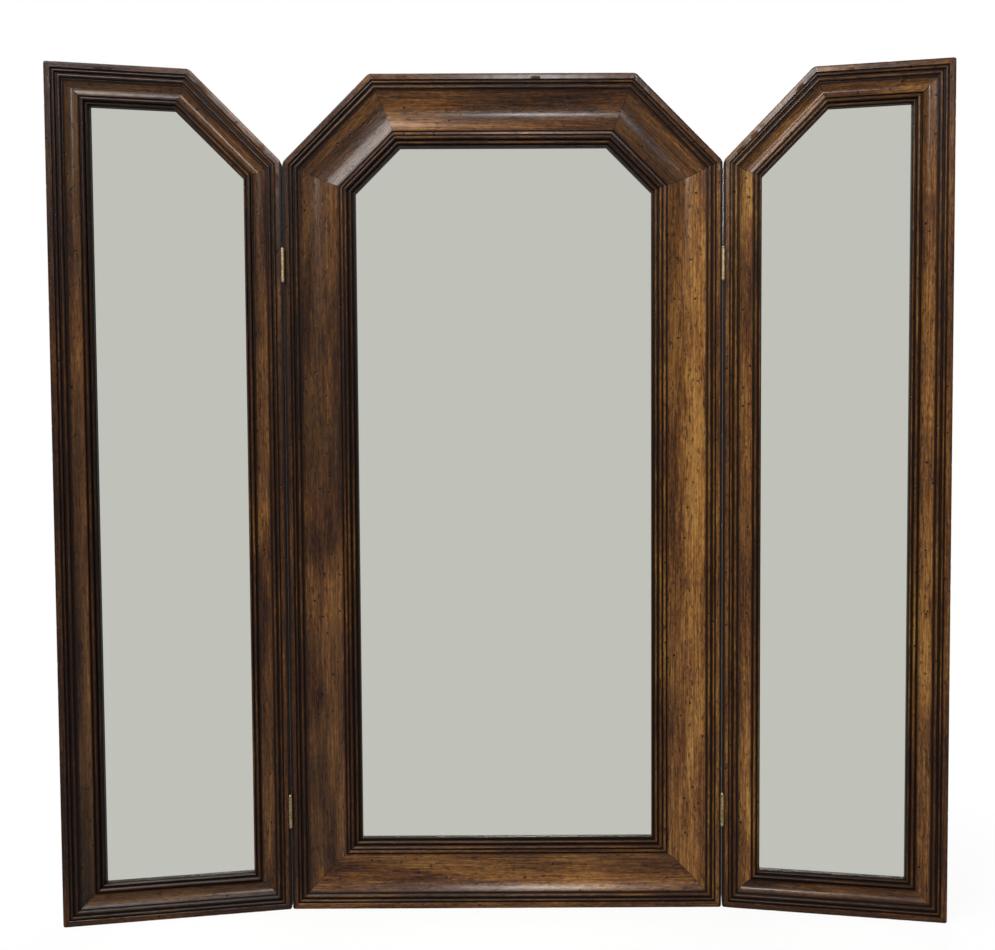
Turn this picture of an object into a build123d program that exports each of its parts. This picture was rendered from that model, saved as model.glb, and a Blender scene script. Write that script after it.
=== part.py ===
from build123d import *

import os
from dataclasses import dataclass
from math import cos, radians, sin

os.makedirs("parts", exist_ok=True)

# A triptych vanity mirror: a wide centre panel with both top corners cut off, and two narrow
# wings, each with its inner top corner cut off, hinged to the centre panel's front edges.
# Sizes are in millimetres. The origin is the middle of the centre panel's bottom face, +X runs
# to the viewer's right, +Y away from the viewer and +Z up, so every front faces -Y.

# Panels. One shoulder size serves all three, so that the hinged edges end level.
PANEL_HEIGHT = 1219.0
CENTRE_WIDTH = 634.0
SHOULDER = 125.0
WINGS_MEETING_GAP = 2.0
FRAME_THICKNESS = 32.0
REST_ANGLE = 8.5

# Outer group of the moulding, the same on all three panels, from the outer edge inward
EDGE_EASE = 2.0
BACK_EASE = 1.0
OUTER_BAND = 8.5
QUIRK = 1.5
FIRST_BEAD = 3.5
FIRST_BEAD_BASE = 2.0
FIRST_BEAD_RISE = 1.3
WIDE_QUIRK = 2.0
SECOND_BEAD = 5.5
SECOND_BEAD_BASE = 3.6
SECOND_BEAD_RISE = 2.3

# Coves: how far behind the front their two edges lie, and how far they dip below those edges
COVE_OUTER_DEPTH = 4.2
COVE_INNER_DEPTH = 6.5
CENTRE_COVE = 57.0
CENTRE_COVE_DIP = 8.6
WING_COVE = 20.0
WING_COVE_DIP = 4.4

# Inner group of the moulding, from the cove to the sight edge
INNER_QUIRK_DEPTH = 8.2
CENTRE_FILLET = 3.5
CENTRE_FILLET_DEPTH = 6.4
CENTRE_THIRD_BEAD = 5.5
WING_THIRD_BEAD = 5.5
THIRD_BEAD_RISE = 3.2
FOURTH_BEAD_BASE = 10.0
CENTRE_FOURTH_BEAD = 4.5
WING_FOURTH_BEAD = 3.0
FOURTH_BEAD_RISE = 2.0
LIP_QUIRK_DEPTH = 12.4
LIP_DEPTH = 11.4
CENTRE_LIP = 2.5
WING_LIP = 1.0

# Glass and backing board
GLASS_DEPTH = 15.5
GLASS_THICKNESS = 4.0
GLASS_LAP = 8.0
GLASS_PLAY = 0.3
BOARD_THICKNESS = 3.0
BOARD_LEDGE = 14.0
BOARD_PLAY = 0.3

# Screws that hold the backing boards
BOARD_SCREW_SPACING = 210.0
BOARD_SCREW_SHANK = 1.4
BOARD_SCREW_LENGTH = 12.0
BOARD_SCREW_HEAD = 3.2
BOARD_SCREW_HEAD_HEIGHT = 1.8

# Loose tongues glued into the mitres
TONGUE_THICKNESS = 4.0
TONGUE_WALL = 3.0
CENTRE_TONGUE_REACH = 12.0
WING_TONGUE_REACH = 8.0
TONGUE_PLAY = 0.15

# Butt hinges, let into the panel edges with their barrels in front of the frames
HINGE_FROM_END = 148.0
HINGE_HEIGHT = 45.0
LEAF_WIDTH = 16.0
LEAF_THICKNESS = 1.2
LEAF_PLAY = 0.1
LEAVES_GAP = 0.6
BARREL_RADIUS = 2.7
BARREL_FRONT_GAP = 0.2
KNUCKLES = 5
KNUCKLE_GAP = 0.3
PIN_RADIUS = 1.35
PIN_PLAY = 0.05
PIN_TIP_RADIUS = 2.2
PIN_TIP_HEIGHT = 2.6
PIN_TIP_FLAT = 0.2

# Screws through the hinge leaves
HINGE_SCREW_SHANK = 1.3
HINGE_SCREW_HEAD = 2.5
HINGE_SCREW_LENGTH = 14.0
HINGE_SCREW_SPACING = 14.0
HINGE_SCREW_STAGGER = 2.5

# All screws
SCREW_SLOT_WIDTH = 0.7
SCREW_SLOT_DEPTH = 0.7
SCREW_POINT = 3.0
SCREW_HOLE_PLAY = 0.05
SCREW_HEAD_PLAY = 0.1


def flat(width, depth):
    """One element of a moulding: its width and its depth at the start, middle and end."""
    return (width, depth, depth, depth)


def bead(width, base, rise):
    """An element that swells forward from its base."""
    return (width, base, base - rise, base)


def cove(width, dip):
    """An element hollowed out between the cove's two edges."""
    middle = (COVE_OUTER_DEPTH + COVE_INNER_DEPTH) / 2 + dip
    return (width, COVE_OUTER_DEPTH, middle, COVE_INNER_DEPTH)


outer_group = [
    flat(OUTER_BAND, 0.0),
    flat(QUIRK, FIRST_BEAD_BASE),
    bead(FIRST_BEAD, FIRST_BEAD_BASE, FIRST_BEAD_RISE),
    flat(WIDE_QUIRK, SECOND_BEAD_BASE),
    bead(SECOND_BEAD, SECOND_BEAD_BASE, SECOND_BEAD_RISE),
    flat(QUIRK, COVE_OUTER_DEPTH),
]
centre_moulding = outer_group + [
    cove(CENTRE_COVE, CENTRE_COVE_DIP),
    flat(QUIRK, INNER_QUIRK_DEPTH),
    flat(CENTRE_FILLET, CENTRE_FILLET_DEPTH),
    flat(QUIRK, INNER_QUIRK_DEPTH),
    bead(CENTRE_THIRD_BEAD, INNER_QUIRK_DEPTH, THIRD_BEAD_RISE),
    flat(QUIRK, FOURTH_BEAD_BASE),
    bead(CENTRE_FOURTH_BEAD, FOURTH_BEAD_BASE, FOURTH_BEAD_RISE),
    flat(QUIRK, LIP_QUIRK_DEPTH),
    flat(CENTRE_LIP, LIP_DEPTH),
]
wing_moulding = outer_group + [
    cove(WING_COVE, WING_COVE_DIP),
    flat(QUIRK, INNER_QUIRK_DEPTH),
    bead(WING_THIRD_BEAD, INNER_QUIRK_DEPTH, THIRD_BEAD_RISE),
    flat(QUIRK, FOURTH_BEAD_BASE),
    bead(WING_FOURTH_BEAD, FOURTH_BEAD_BASE, FOURTH_BEAD_RISE),
    flat(WING_LIP, LIP_DEPTH),
]

# Sizes that follow from those above
wing_width = (CENTRE_WIDTH - WINGS_MEETING_GAP) / 2
axis_out = (CENTRE_WIDTH + LEAVES_GAP) / 2
axis_forward = BARREL_RADIUS + BARREL_FRONT_GAP
front_y = -FRAME_THICKNESS / 2
board_front = GLASS_DEPTH + GLASS_THICKNESS
hinge_heights = {
    "lower": HINGE_FROM_END,
    "upper": PANEL_HEIGHT - SHOULDER - HINGE_FROM_END,
}


@dataclass
class Panel:
    """One framed mirror. Its frame of reference has X across the front, Y up and Z to the viewer.

    The outline runs anticlockwise as the viewer sees it, and member i starts at its corner i.
    """

    name: str
    frame: Plane
    outline: list
    members: list
    moulding: list
    tongue_reach: float

    @property
    def face(self):
        """Width of the moulding from its outer edge to the sight edge."""
        return sum(element[0] for element in self.moulding)

    @property
    def glass_edge(self):
        """Where the glass's rebate starts, inset from the outer edge."""
        return self.face - GLASS_LAP

    @property
    def board_edge(self):
        """Where the backing board's ledge starts, inset from the outer edge."""
        return self.glass_edge - BOARD_LEDGE

    def corner(self, index):
        """Corner index of the outline, counted round it."""
        return Vector(*self.outline[index % len(self.outline)])

    def length(self, index):
        """Outer length of member index."""
        return (self.corner(index + 1) - self.corner(index)).length

    def along(self, index):
        """Unit vector from corner index to the next corner."""
        return (self.corner(index + 1) - self.corner(index)).normalized()

    def inward(self, index):
        """Unit vector from member index towards the glass."""
        return self.along(index).rotate(Axis.Z, 90)

    def mitre(self, index, inset):
        """The point on the mitre of corner index that is inset from both outer edges."""
        direction = (self.inward(index - 1) + self.inward(index)).normalized()
        return self.corner(index) + direction * (inset / direction.dot(self.inward(index)))

    def inset_outline(self, inset):
        """The outline drawn in by an inset on every side."""
        return [tuple(self.mitre(index, inset))[:2] for index in range(len(self.outline))]

    def plane(self, origin, x_dir, z_dir):
        """A plane given in the panel's own frame of reference."""
        return Plane(self.frame * Plane(origin=origin, x_dir=x_dir, z_dir=z_dir))

    def level(self, depth):
        """The plane parallel to the front and a given depth behind it."""
        return self.plane((0, 0, -depth), (1, 0, 0), (0, 0, 1))


def wing_front(side):
    """Plane of a wing's front at rest, its origin beside the foot of the hinge axis."""
    turn = radians(REST_ANGLE)
    normal = Vector(-side * sin(turn), -cos(turn), 0)
    across = Vector(cos(turn), -side * sin(turn), 0)
    axis_foot = Vector(side * axis_out, front_y - axis_forward, 0)
    return Plane(origin=axis_foot - normal * axis_forward, x_dir=across, z_dir=normal)


half = CENTRE_WIDTH / 2
near = LEAVES_GAP / 2
far = near + wing_width
centre = Panel(
    "centre",
    Plane(origin=(0, front_y, 0), x_dir=(1, 0, 0), z_dir=(0, -1, 0)),
    [
        (-half, 0),
        (half, 0),
        (half, PANEL_HEIGHT - SHOULDER),
        (half - SHOULDER, PANEL_HEIGHT),
        (SHOULDER - half, PANEL_HEIGHT),
        (-half, PANEL_HEIGHT - SHOULDER),
    ],
    ["bottom_rail", "right_stile", "right_shoulder", "top_rail", "left_shoulder", "left_stile"],
    centre_moulding,
    CENTRE_TONGUE_REACH,
)
left_wing = Panel(
    "left_wing",
    wing_front(-1),
    [
        (-far, 0),
        (-near, 0),
        (-near, PANEL_HEIGHT - SHOULDER),
        (-near - SHOULDER, PANEL_HEIGHT),
        (-far, PANEL_HEIGHT),
    ],
    ["bottom_rail", "hinge_stile", "shoulder", "top_rail", "outer_stile"],
    wing_moulding,
    WING_TONGUE_REACH,
)
right_wing = Panel(
    "right_wing",
    wing_front(1),
    [
        (near, 0),
        (far, 0),
        (far, PANEL_HEIGHT),
        (near + SHOULDER, PANEL_HEIGHT),
        (near, PANEL_HEIGHT - SHOULDER),
    ],
    ["bottom_rail", "outer_stile", "top_rail", "shoulder", "hinge_stile"],
    wing_moulding,
    WING_TONGUE_REACH,
)


def save(part, name):
    """Label a finished piece and write it."""
    part.label = name
    export_step(part, f"parts/{name}.step")


# Frame members: lengths of moulding, mitred at both ends
def draw_front(moulding):
    """Draw the moulding's front from the outer edge to the sight edge, and return its end."""
    here = Vector(0, 0)
    for width, start, middle, end in moulding:
        top, bottom = Vector(here.X, -start), Vector(here.X + width, -end)
        if abs(top.Y - here.Y) > 0:
            Line(here, top)
        if start == middle:
            Line(top, bottom)
        else:
            ThreePointArc(top, (here.X + width / 2, -middle), bottom)
        here = bottom
    return here


def board_screw_places(panel, index):
    """Distances along member index at which the backing board is screwed down."""
    inset = panel.board_edge + BOARD_LEDGE / 2
    start = (panel.mitre(index, inset) - panel.corner(index)).dot(panel.along(index))
    end = (panel.mitre(index + 1, inset) - panel.corner(index)).dot(panel.along(index))
    count = max(1, round((end - start) / BOARD_SCREW_SPACING))
    pitch = (end - start) / count
    return [start + pitch * (step + 0.5) for step in range(count)]


def board_screw_plane(panel, index, depth):
    """Plane along member index over the middle of the board's ledge, facing the back."""
    foot = panel.corner(index) + panel.inward(index) * (panel.board_edge + BOARD_LEDGE / 2)
    return panel.plane((foot.X, foot.Y, -depth), panel.along(index), (0, 0, -1))


def tongue_blank(panel, corner, play):
    """Sketch of a loose tongue in the middle of the wood at a mitre, grown by a play."""
    to_glass = (panel.mitre(corner, 1) - panel.corner(corner)).normalized()
    wall = TONGUE_WALL + panel.tongue_reach * abs(to_glass.dot(panel.along(corner)))
    start = panel.mitre(corner, wall)
    end = panel.mitre(corner, panel.board_edge - wall)
    middle = (start + end) * 0.5
    deepest = max(element[2] for element in panel.moulding)
    depth = (deepest + FRAME_THICKNESS) / 2
    with BuildSketch(panel.plane((middle.X, middle.Y, -depth), end - start, (0, 0, 1))) as blank:
        Rectangle((end - start).length + 2 * play, 2 * (panel.tongue_reach + play))
    return blank.sketch


def make_member(panel, index, name, leaves=()):
    """One member, with recesses in its outer edge for the hinge leaves that it carries."""
    start, end = panel.corner(index), panel.corner(index + 1)
    along, inward = panel.along(index), panel.inward(index)
    with BuildPart() as member:
        with BuildSketch(panel.plane(start, inward, along)) as section:
            with BuildLine():
                sight_edge = draw_front(panel.moulding)
                Polyline(
                    sight_edge,
                    (panel.face, -GLASS_DEPTH),
                    (panel.glass_edge, -GLASS_DEPTH),
                    (panel.glass_edge, -board_front),
                    (panel.board_edge, -board_front),
                    (panel.board_edge, -FRAME_THICKNESS),
                    (0, -FRAME_THICKNESS),
                    (0, 0),
                )
            make_face()
            fillet(section.vertices().sort_by_distance((0, 0))[0], EDGE_EASE)
            chamfer(section.vertices().sort_by_distance((0, -FRAME_THICKNESS))[0], BACK_EASE)
        extrude(amount=panel.length(index))
        for corner, point, turn in ((index, start, -90), (index + 1, end, 90)):
            towards_body = (panel.mitre(corner, panel.face) - point).normalized()
            towards_body = towards_body.rotate(Axis.Z, turn)
            split(bisect_by=panel.plane(point, (0, 0, 1), towards_body), keep=Keep.TOP)
            slot = tongue_blank(panel, corner, TONGUE_PLAY)
            extrude(slot, TONGUE_THICKNESS / 2 + TONGUE_PLAY, both=True, mode=Mode.SUBTRACT)
        with BuildSketch(board_screw_plane(panel, index, board_front)):
            with Locations(*[(place, 0) for place in board_screw_places(panel, index)]):
                Circle(BOARD_SCREW_SHANK + SCREW_HOLE_PLAY)
        pilot_depth = BOARD_SCREW_LENGTH - BOARD_THICKNESS + SCREW_HOLE_PLAY
        extrude(amount=-pilot_depth, mode=Mode.SUBTRACT)
        for leaf in leaves:
            cut_leaf_recess(leaf)
    save(member.part, name)


# Glass, backing board, its screws and the mitre tongues, made for each panel in turn
def make_glass(panel, name):
    """A mirror glass that lies in the frame's rebate, lapped by the lip."""
    with BuildPart() as glass:
        with BuildSketch(panel.level(GLASS_DEPTH)):
            outline = panel.inset_outline(panel.glass_edge + GLASS_PLAY)
            Polygon(*outline, align=None)
        extrude(amount=-GLASS_THICKNESS)
    save(glass.part, name)


def make_board(panel, name):
    """A backing board on the glass and on a ledge round it, with holes for its screws."""
    with BuildPart() as board:
        with BuildSketch(panel.level(board_front)):
            outline = panel.inset_outline(panel.board_edge + BOARD_PLAY)
            Polygon(*outline, align=None)
        extrude(amount=-BOARD_THICKNESS)
        for index in range(len(panel.members)):
            with BuildSketch(board_screw_plane(panel, index, board_front)):
                with Locations(*[(place, 0) for place in board_screw_places(panel, index)]):
                    Circle(BOARD_SCREW_SHANK + SCREW_HOLE_PLAY)
            extrude(amount=BOARD_THICKNESS, mode=Mode.SUBTRACT)
    save(board.part, name)


def make_screw(head, dome, shank, length):
    """A slotted wood screw whose head meets the surface at Z = 0; with no dome it is flush."""
    with BuildPart() as screw:
        with BuildSketch(Plane.XZ):
            with BuildLine():
                if dome:
                    TangentArc((0, dome), (head, 0), tangent=(1, 0))
                    under_head = (shank, 0)
                else:
                    Line((0, 0), (head, 0))
                    under_head = (shank, shank - head)
                Polyline(
                    (head, 0),
                    under_head,
                    (shank, SCREW_POINT - length),
                    (0, -length),
                    (0, dome),
                )
            make_face()
        revolve(axis=Axis.Z)
        with Locations((0, 0, dome)):
            Box(2 * head, SCREW_SLOT_WIDTH, 2 * SCREW_SLOT_DEPTH, mode=Mode.SUBTRACT)
    return screw.part


def save_screws(screw, planes, name):
    """Set a copy of a screw on each plane and save them as one group."""
    with BuildPart() as screws:
        with Locations(*planes):
            add(screw)
    save(screws.part, name)


def board_screw_seats(panel):
    """The planes on which the board's screw heads sit, each at its own screw."""
    back = board_front + BOARD_THICKNESS
    seats = []
    for index in range(len(panel.members)):
        row = board_screw_plane(panel, index, back)
        for place in board_screw_places(panel, index):
            seats.append(Plane(origin=row.from_local_coords((place, 0, 0)), z_dir=row.z_dir))
    return seats


def make_tongues(panel, name):
    """The loose tongues of a panel, one across each mitre."""
    with BuildPart() as tongues:
        for corner in range(len(panel.members)):
            extrude(tongue_blank(panel, corner, 0), TONGUE_THICKNESS / 2, both=True)
    save(tongues.part, name)


# Hinges. A leaf's own plane stands on the hinge axis at mid-height, with local X towards the
# panel that the leaf is screwed to and local Y towards the back.
def leaf_plane(side, height, on_wing):
    angle = radians(REST_ANGLE) if on_wing else 0.0
    outward = side if on_wing else -side
    to_panel = Vector(outward * cos(angle), -sin(angle), 0)
    to_back = Vector(side * sin(angle), cos(angle), 0)
    foot = Vector(side * axis_out, front_y - axis_forward, height)
    return Plane(origin=foot, x_dir=to_panel, z_dir=to_panel.cross(to_back))


def leaf_face_plane(plane):
    """Plane on the leaf's open face, its local X to the back, facing away from its own panel."""
    face = Plane(origin=(LEAVES_GAP / 2, 0, 0), x_dir=(0, 1, 0), z_dir=(-1, 0, 0))
    return Plane(plane * face)


def hinge_screw_places():
    """Places of a leaf's three screws on its face: distance behind the axis, and height."""
    middle = axis_forward + LEAF_WIDTH / 2
    spacing, stagger = HINGE_SCREW_SPACING, HINGE_SCREW_STAGGER
    return [(middle - stagger, -spacing), (middle + stagger, 0), (middle - stagger, spacing)]


def cut_leaf_recess(plane):
    """Let a leaf into the edge of a stile, with pilot holes for its screws."""
    back = axis_forward + LEAF_WIDTH + LEAF_PLAY
    with BuildSketch(leaf_face_plane(plane)) as recess:
        with Locations((back / 2, 0)):
            Rectangle(back, HINGE_HEIGHT + 2 * LEAF_PLAY)
    extrude(recess.sketch, -LEAF_THICKNESS, mode=Mode.SUBTRACT)
    with BuildSketch(leaf_face_plane(plane)) as pilots:
        with Locations(*hinge_screw_places()):
            Circle(HINGE_SCREW_SHANK + SCREW_HOLE_PLAY)
    extrude(pilots.sketch, -HINGE_SCREW_LENGTH - SCREW_HOLE_PLAY, mode=Mode.SUBTRACT)


def make_leaf(plane, first_knuckle, name):
    """A leaf with every second knuckle, bored for the pin and countersunk for its screws."""
    knuckle = (HINGE_HEIGHT - (KNUCKLES - 1) * KNUCKLE_GAP) / KNUCKLES
    plate_x = (LEAVES_GAP + LEAF_THICKNESS) / 2
    plate_start = BARREL_RADIUS + KNUCKLE_GAP
    plate_end = axis_forward + LEAF_WIDTH
    with BuildPart() as leaf:
        with BuildSketch(plane):
            with Locations((plate_x, (plate_start + plate_end) / 2)):
                Rectangle(LEAF_THICKNESS, plate_end - plate_start)
        extrude(amount=HINGE_HEIGHT / 2, both=True)
        for step in range(first_knuckle, KNUCKLES, 2):
            low = step * (knuckle + KNUCKLE_GAP) - HINGE_HEIGHT / 2
            with BuildSketch(plane.offset(low)):
                Circle(BARREL_RADIUS)
                with Locations((plate_x, plate_start / 2)):
                    Rectangle(LEAF_THICKNESS, plate_start)
                Circle(PIN_RADIUS + PIN_PLAY, mode=Mode.SUBTRACT)
            extrude(amount=knuckle)
        with Locations(leaf_face_plane(plane)):
            with Locations(*hinge_screw_places()):
                CounterSinkHole(
                    HINGE_SCREW_SHANK + SCREW_HOLE_PLAY,
                    HINGE_SCREW_HEAD + SCREW_HEAD_PLAY,
                    counter_sink_angle=90,
                )
    save(leaf.part, name)


def make_pin(plane, name):
    """A pin through all the knuckles, with a rounded tip standing on each end of the barrel."""
    end = HINGE_HEIGHT / 2
    with BuildPart() as pin:
        with BuildSketch(plane):
            Circle(PIN_RADIUS)
        extrude(amount=end, both=True)
        for turn in (0, 180):
            foot = plane.rotated((turn, 0, 0)).offset(end)
            with BuildSketch(foot):
                Circle(PIN_TIP_RADIUS)
            extrude(amount=PIN_TIP_HEIGHT)
            rims = pin.edges().filter_by(GeomType.CIRCLE).sort_by(Axis(foot.origin, foot.z_dir))
            fillet(rims[-1], PIN_TIP_RADIUS - PIN_TIP_FLAT)
    save(pin.part, name)


def hinge_screw_seats(side, on_wing):
    """The planes on which one panel's hinge screws sit, at both of its hinges on one side."""
    seats = []
    for height in hinge_heights.values():
        face = leaf_face_plane(leaf_plane(side, height, on_wing))
        for place in hinge_screw_places():
            seats.append(Plane(origin=face.from_local_coords((*place, 0)), z_dir=face.z_dir))
    return seats


# The three panels
board_screw = make_screw(
    BOARD_SCREW_HEAD, BOARD_SCREW_HEAD_HEIGHT, BOARD_SCREW_SHANK, BOARD_SCREW_LENGTH
)
hinge_screw = make_screw(HINGE_SCREW_HEAD, 0.0, HINGE_SCREW_SHANK, HINGE_SCREW_LENGTH)
hinged_edges = {
    "centre_left_stile": (-1, False),
    "centre_right_stile": (1, False),
    "left_wing_hinge_stile": (-1, True),
    "right_wing_hinge_stile": (1, True),
}
for panel in (centre, left_wing, right_wing):
    for index, member_name in enumerate(panel.members):
        name = f"{panel.name}_{member_name}"
        leaves = []
        if name in hinged_edges:
            side, on_wing = hinged_edges[name]
            leaves = [leaf_plane(side, height, on_wing) for height in hinge_heights.values()]
        make_member(panel, index, name, leaves)
    make_glass(panel, f"{panel.name}_mirror_glass")
    make_board(panel, f"{panel.name}_backing_board")
    make_tongues(panel, f"{panel.name}_mitre_tongues")
    save_screws(board_screw, board_screw_seats(panel), f"{panel.name}_backing_screws")

# The four hinges, and the screws of each panel's leaves
for side, side_name in ((-1, "left"), (1, "right")):
    for level, height in hinge_heights.items():
        hinge = f"{side_name}_{level}_hinge"
        make_leaf(leaf_plane(side, height, False), 0, f"{hinge}_centre_leaf")
        make_leaf(leaf_plane(side, height, True), 1, f"{hinge}_wing_leaf")
        make_pin(leaf_plane(side, height, False), f"{hinge}_pin")
    save_screws(hinge_screw, hinge_screw_seats(side, True), f"{side_name}_wing_hinge_screws")
save_screws(
    hinge_screw,
    hinge_screw_seats(-1, False) + hinge_screw_seats(1, False),
    "centre_hinge_screws",
)
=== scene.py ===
from math import cos, pi, radians, sin, tan

import bmesh
import bpy
from mathutils import Matrix, Vector


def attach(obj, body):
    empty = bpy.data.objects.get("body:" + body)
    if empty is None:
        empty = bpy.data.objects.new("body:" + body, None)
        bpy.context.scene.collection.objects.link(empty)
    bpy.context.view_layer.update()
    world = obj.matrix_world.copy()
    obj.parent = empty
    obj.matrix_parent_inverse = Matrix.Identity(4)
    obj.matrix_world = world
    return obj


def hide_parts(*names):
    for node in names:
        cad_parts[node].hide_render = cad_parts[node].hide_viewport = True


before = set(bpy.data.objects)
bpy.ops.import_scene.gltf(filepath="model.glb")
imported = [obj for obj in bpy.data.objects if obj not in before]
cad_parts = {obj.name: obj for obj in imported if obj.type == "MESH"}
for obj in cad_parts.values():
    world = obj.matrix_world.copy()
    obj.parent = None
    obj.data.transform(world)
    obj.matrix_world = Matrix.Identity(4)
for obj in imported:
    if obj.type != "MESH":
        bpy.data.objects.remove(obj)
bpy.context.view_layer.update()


# Camera: it stands 1.26 m in front of the centre mirror, a little right of its middle and
# 0.69 m up, and looks slightly down. The picture is cut off-centre, which is what the shift
# does.
PICTURE_WIDTH = 995
PICTURE_HEIGHT = 950
FOCAL_PIXELS = 866.74
MIDDLE_PIXEL = (553.79, 470.52)
CAMERA_PLACE = (0.07030, -1.27688, 0.69070)
CAMERA_YAW = 0.0012163
CAMERA_PITCH = 0.0336098
CAMERA_ROLL = -0.0042245

look = Vector((
    sin(CAMERA_YAW) * cos(CAMERA_PITCH), cos(CAMERA_YAW) * cos(CAMERA_PITCH), -sin(CAMERA_PITCH),
))
level = Vector((cos(CAMERA_YAW), -sin(CAMERA_YAW), 0))
upright = level.cross(look)
camera_right = cos(CAMERA_ROLL) * level + sin(CAMERA_ROLL) * upright
camera_up = -sin(CAMERA_ROLL) * level + cos(CAMERA_ROLL) * upright
camera = bpy.data.objects.new("camera", bpy.data.cameras.new("camera"))
bpy.context.scene.collection.objects.link(camera)
turned = Matrix((camera_right, camera_up, -look)).transposed()
camera.matrix_world = Matrix.Translation(CAMERA_PLACE) @ turned.to_4x4()
camera.data.sensor_width = 36
camera.data.lens = 36 * FOCAL_PIXELS / PICTURE_WIDTH
camera.data.shift_x = (PICTURE_WIDTH / 2 - MIDDLE_PIXEL[0]) / PICTURE_WIDTH
camera.data.shift_y = (MIDDLE_PIXEL[1] - PICTURE_HEIGHT / 2) / PICTURE_WIDTH
bpy.context.scene.camera = camera


# Frame mouldings: sixteen lengths of hardwood, run on a spindle moulder with beads, quirks
# and a cove, rebated behind for glass and board, mitred and glued. They are stained brown,
# distressed with worm holes and nicks, rubbed back on the proud edges and lacquered.
MM = 0.001
PANEL_HEIGHT = 1219.0
CENTRE_WIDTH = 634.0
SHOULDER = 125.0
WING_WIDTH = 316.0
FRAME_THICKNESS = 32.0
REST_ANGLE = 8.5
LEAVES_GAP = 0.6
AXIS_FORWARD = 2.9
# Each step of the moulding, from its outer edge inwards: its width, then how deep it lies
# at its start, its middle and its end. All sizes are in millimetres.
OUTER_STEPS = [
    (8.5, 0.0, 0.0, 0.0),
    (1.5, 2.0, 2.0, 2.0),
    (3.5, 2.0, 0.7, 2.0),
    (2.0, 3.6, 3.6, 3.6),
    (5.5, 3.6, 1.3, 3.6),
    (1.5, 4.2, 4.2, 4.2),
]
CENTRE_STEPS = OUTER_STEPS + [
    (57.0, 4.2, 13.95, 6.5),
    (1.5, 8.2, 8.2, 8.2),
    (3.5, 6.4, 6.4, 6.4),
    (1.5, 8.2, 8.2, 8.2),
    (5.5, 8.2, 5.0, 8.2),
    (1.5, 10.0, 10.0, 10.0),
    (4.5, 10.0, 8.0, 10.0),
    (1.5, 12.4, 12.4, 12.4),
    (2.5, 11.4, 11.4, 11.4),
]
WING_STEPS = OUTER_STEPS + [
    (20.0, 4.2, 9.75, 6.5),
    (1.5, 8.2, 8.2, 8.2),
    (5.5, 8.2, 5.0, 8.2),
    (1.5, 10.0, 10.0, 10.0),
    (3.0, 10.0, 8.0, 10.0),
    (1.0, 11.4, 11.4, 11.4),
]
OUTER_EASE = 1.2
EASE_POINTS = 6
ARRIS = 0.4
GLASS_DEPTH = 15.5
GLASS_LAP = 8.0
BOARD_DEPTH = 19.5
BOARD_LEDGE = 14.0
BACK_EASE = 1.0
RING_SPACING = 4.0
CURVE_SPACING = 2.3
KNOCKS_PER_METRE = 75.0
SWELLS_PER_METRE = 14.0
NICK_DEPTH = 1.5
EDGE_BEADS = 22.0
EDGE_REACH = 2.5
CORNER_WEAR = 4.5
CORNER_STOPS = (0.8, 1.6, 2.4, 3.2)
UNEVENNESS = 0.35
LEAF_BED_DEPTH = 1.3
LEAF_BED_REACH = 16.1
LEAF_BED_HALF = 22.6
BED_STEP = 0.02
HINGE_CENTRES = (148.0, 946.0)
# Wear is 1 where the finish is rubbed back to pale wood and -1 where it is dark with dirt and
# painted shade, as in the quirks, at the feet of beads, steps and cove, and by the glass.
DIRT_AND_SHADE = -1.0
EASE_WEAR = 0.7
BAND_WEAR = 0.25
INNER_ARRIS_WEAR_AND_SHADE = (-0.5, 0.25)
OUTER_ARRIS_WEAR = (0.35, 0.1)
BEAD_WEAR_AND_SHADE = (-0.9, 0.2)
COVE_WEAR_AND_SHADE = (-0.6, 0.6)
EDGE_WEAR = -0.25


def linear(code):
    """Linear red, green, blue and alpha of an sRGB hex colour."""
    parts = [int(code[i:i + 2], 16) / 255 for i in (0, 2, 4)]
    return tuple(c / 12.92 if c < 0.04045 else ((c + 0.055) / 1.055) ** 2.4 for c in parts) + (1.0,)


def add_node(tree, kind, inputs=None, **settings):
    """Add a node, set it up, and give each input a value or a link."""
    node = tree.nodes.new(kind)
    for name, value in settings.items():
        setattr(node, name, value)
    for key, value in (inputs or {}).items():
        if isinstance(value, bpy.types.NodeSocket):
            tree.links.new(value, node.inputs[key])
        else:
            node.inputs[key].default_value = value
    return node


def new_material(name):
    """An empty node material and its tree."""
    material = bpy.data.materials.new(name)
    material.use_nodes = True
    material.node_tree.nodes.clear()
    return material, material.node_tree


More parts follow.
